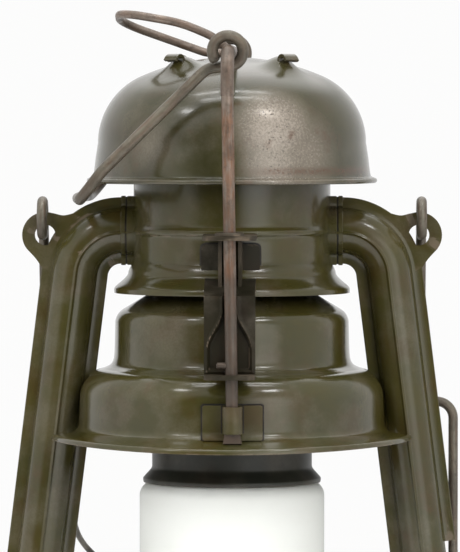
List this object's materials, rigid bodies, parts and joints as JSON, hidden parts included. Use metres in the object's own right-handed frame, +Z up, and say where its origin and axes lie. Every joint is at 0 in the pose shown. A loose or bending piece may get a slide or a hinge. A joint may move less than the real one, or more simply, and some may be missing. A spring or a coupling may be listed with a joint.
{
  "type": "hurricane lantern",
  "caption": "Side-tube paraffin lantern with a domed hood, stepped lifting globe plate, frosted globe, wire bail, globe lever, burner and round tank.",
  "frame": {"origin": "centre of the base, on the surface that the lantern stands on", "axes": "+Z up along the globe's axis, -Y to the front where the lift rod and wick knob are, +X towards the lever"},
  "size_m": [0.132, 0.1164, 0.2763],
  "materials": {
    "olive_paint": "worn satin olive paint",
    "wire": "dark worn wire",
    "brass": "dull brass",
    "frosted_glass": "frosted",
    "cotton": "woven",
    "seal": "matte"
  },
  "bodies": {
    "frame": {"tank_shell": "olive_paint", "tank_bottom": "olive_paint", "filler_neck": "olive_paint", "burner_collar": "brass", "burner_body": "brass", "burner_cone": "brass", "wick_tube": "brass", "crown": "olive_paint", "hood": "olive_paint", "hood_carrier": "olive_paint", "front_guide": "olive_paint", "rear_guide": "olive_paint", "left_tube_front": "olive_paint", "left_tube_rear": "olive_paint", "right_tube_front": "olive_paint", "right_tube_rear": "olive_paint", "lever_bracket": "olive_paint", "front_guard": "wire", "rear_guard": "wire"},
    "globe_carriage": {"globe_gallery": "olive_paint", "globe": "frosted_glass"},
    "upper_plate": {"upper_globe_plate": "olive_paint", "globe_collar": "olive_paint", "front_clip": "olive_paint", "rear_clip": "olive_paint", "lift_wire": "wire"},
    "handle": {"top_handle": "wire"},
    "bail": {"bail": "wire"},
    "lever": {"lift_lever": "wire"},
    "winder": {"wick_spindle": "brass", "wick_knob": "brass"},
    "wick": {"wick": "cotton"},
    "cap_seal": {"filler_gasket": "seal"},
    "cap": {"filler_cap": "olive_paint"}
  },
  "joints": [
    {"name": "globe_lift", "type": "slide", "parent": "frame", "child": "globe_carriage", "axis": [0, 0, 1], "range_m": [0, 0.0025]},
    {"name": "plate_lift", "type": "slide", "parent": "globe_carriage", "child": "upper_plate", "axis": [0, 0, 1], "range_m": [0, 0.0025]},
    {"name": "handle_swing", "type": "hinge", "parent": "upper_plate", "child": "handle", "pos_m": [0, 0, 0.2659], "axis": [0, 1, 0], "range_deg": [0, 267]},
    {"name": "bail_swing", "type": "hinge", "parent": "frame", "child": "bail", "pos_m": [0, 0, 0.22447], "axis": [1, 0, 0], "range_deg": [0, 200]},
    {"name": "lever_turn", "type": "hinge", "parent": "frame", "child": "lever", "pos_m": [0.0459, 0.0055, 0.07425], "axis": [0, 1, 0], "range_deg": [0, 13]},
    {"name": "knob_turn", "type": "hinge", "parent": "frame", "child": "winder", "pos_m": [0.005, -0.03, 0.058], "axis": [0, 1, 0], "range_deg": [-90, 150]},
    {"name": "wick_rise", "type": "slide", "parent": "frame", "child": "wick", "axis": [0, 0, 1], "range_m": [-0.006, 0.01]},
    {"name": "cap_rise", "type": "slide", "parent": "frame", "child": "cap_seal", "axis": [0, 0, 1], "range_m": [0, 0.00401]},
    {"name": "cap_turn", "type": "hinge", "parent": "cap_seal", "child": "cap", "pos_m": [0.02571, -0.03064, 0.048], "axis": [0, 0, 1], "range_deg": [0, 720]}
  ],
  "couplings": [
    {"joint": "globe_lift", "follows": "lever_turn", "m_per_rad": 0.011018},
    {"joint": "wick_rise", "follows": "knob_turn", "m_per_rad": 0.0037},
    {"joint": "cap_rise", "follows": "cap_turn", "m_per_rad": 0.00031831}
  ]
}
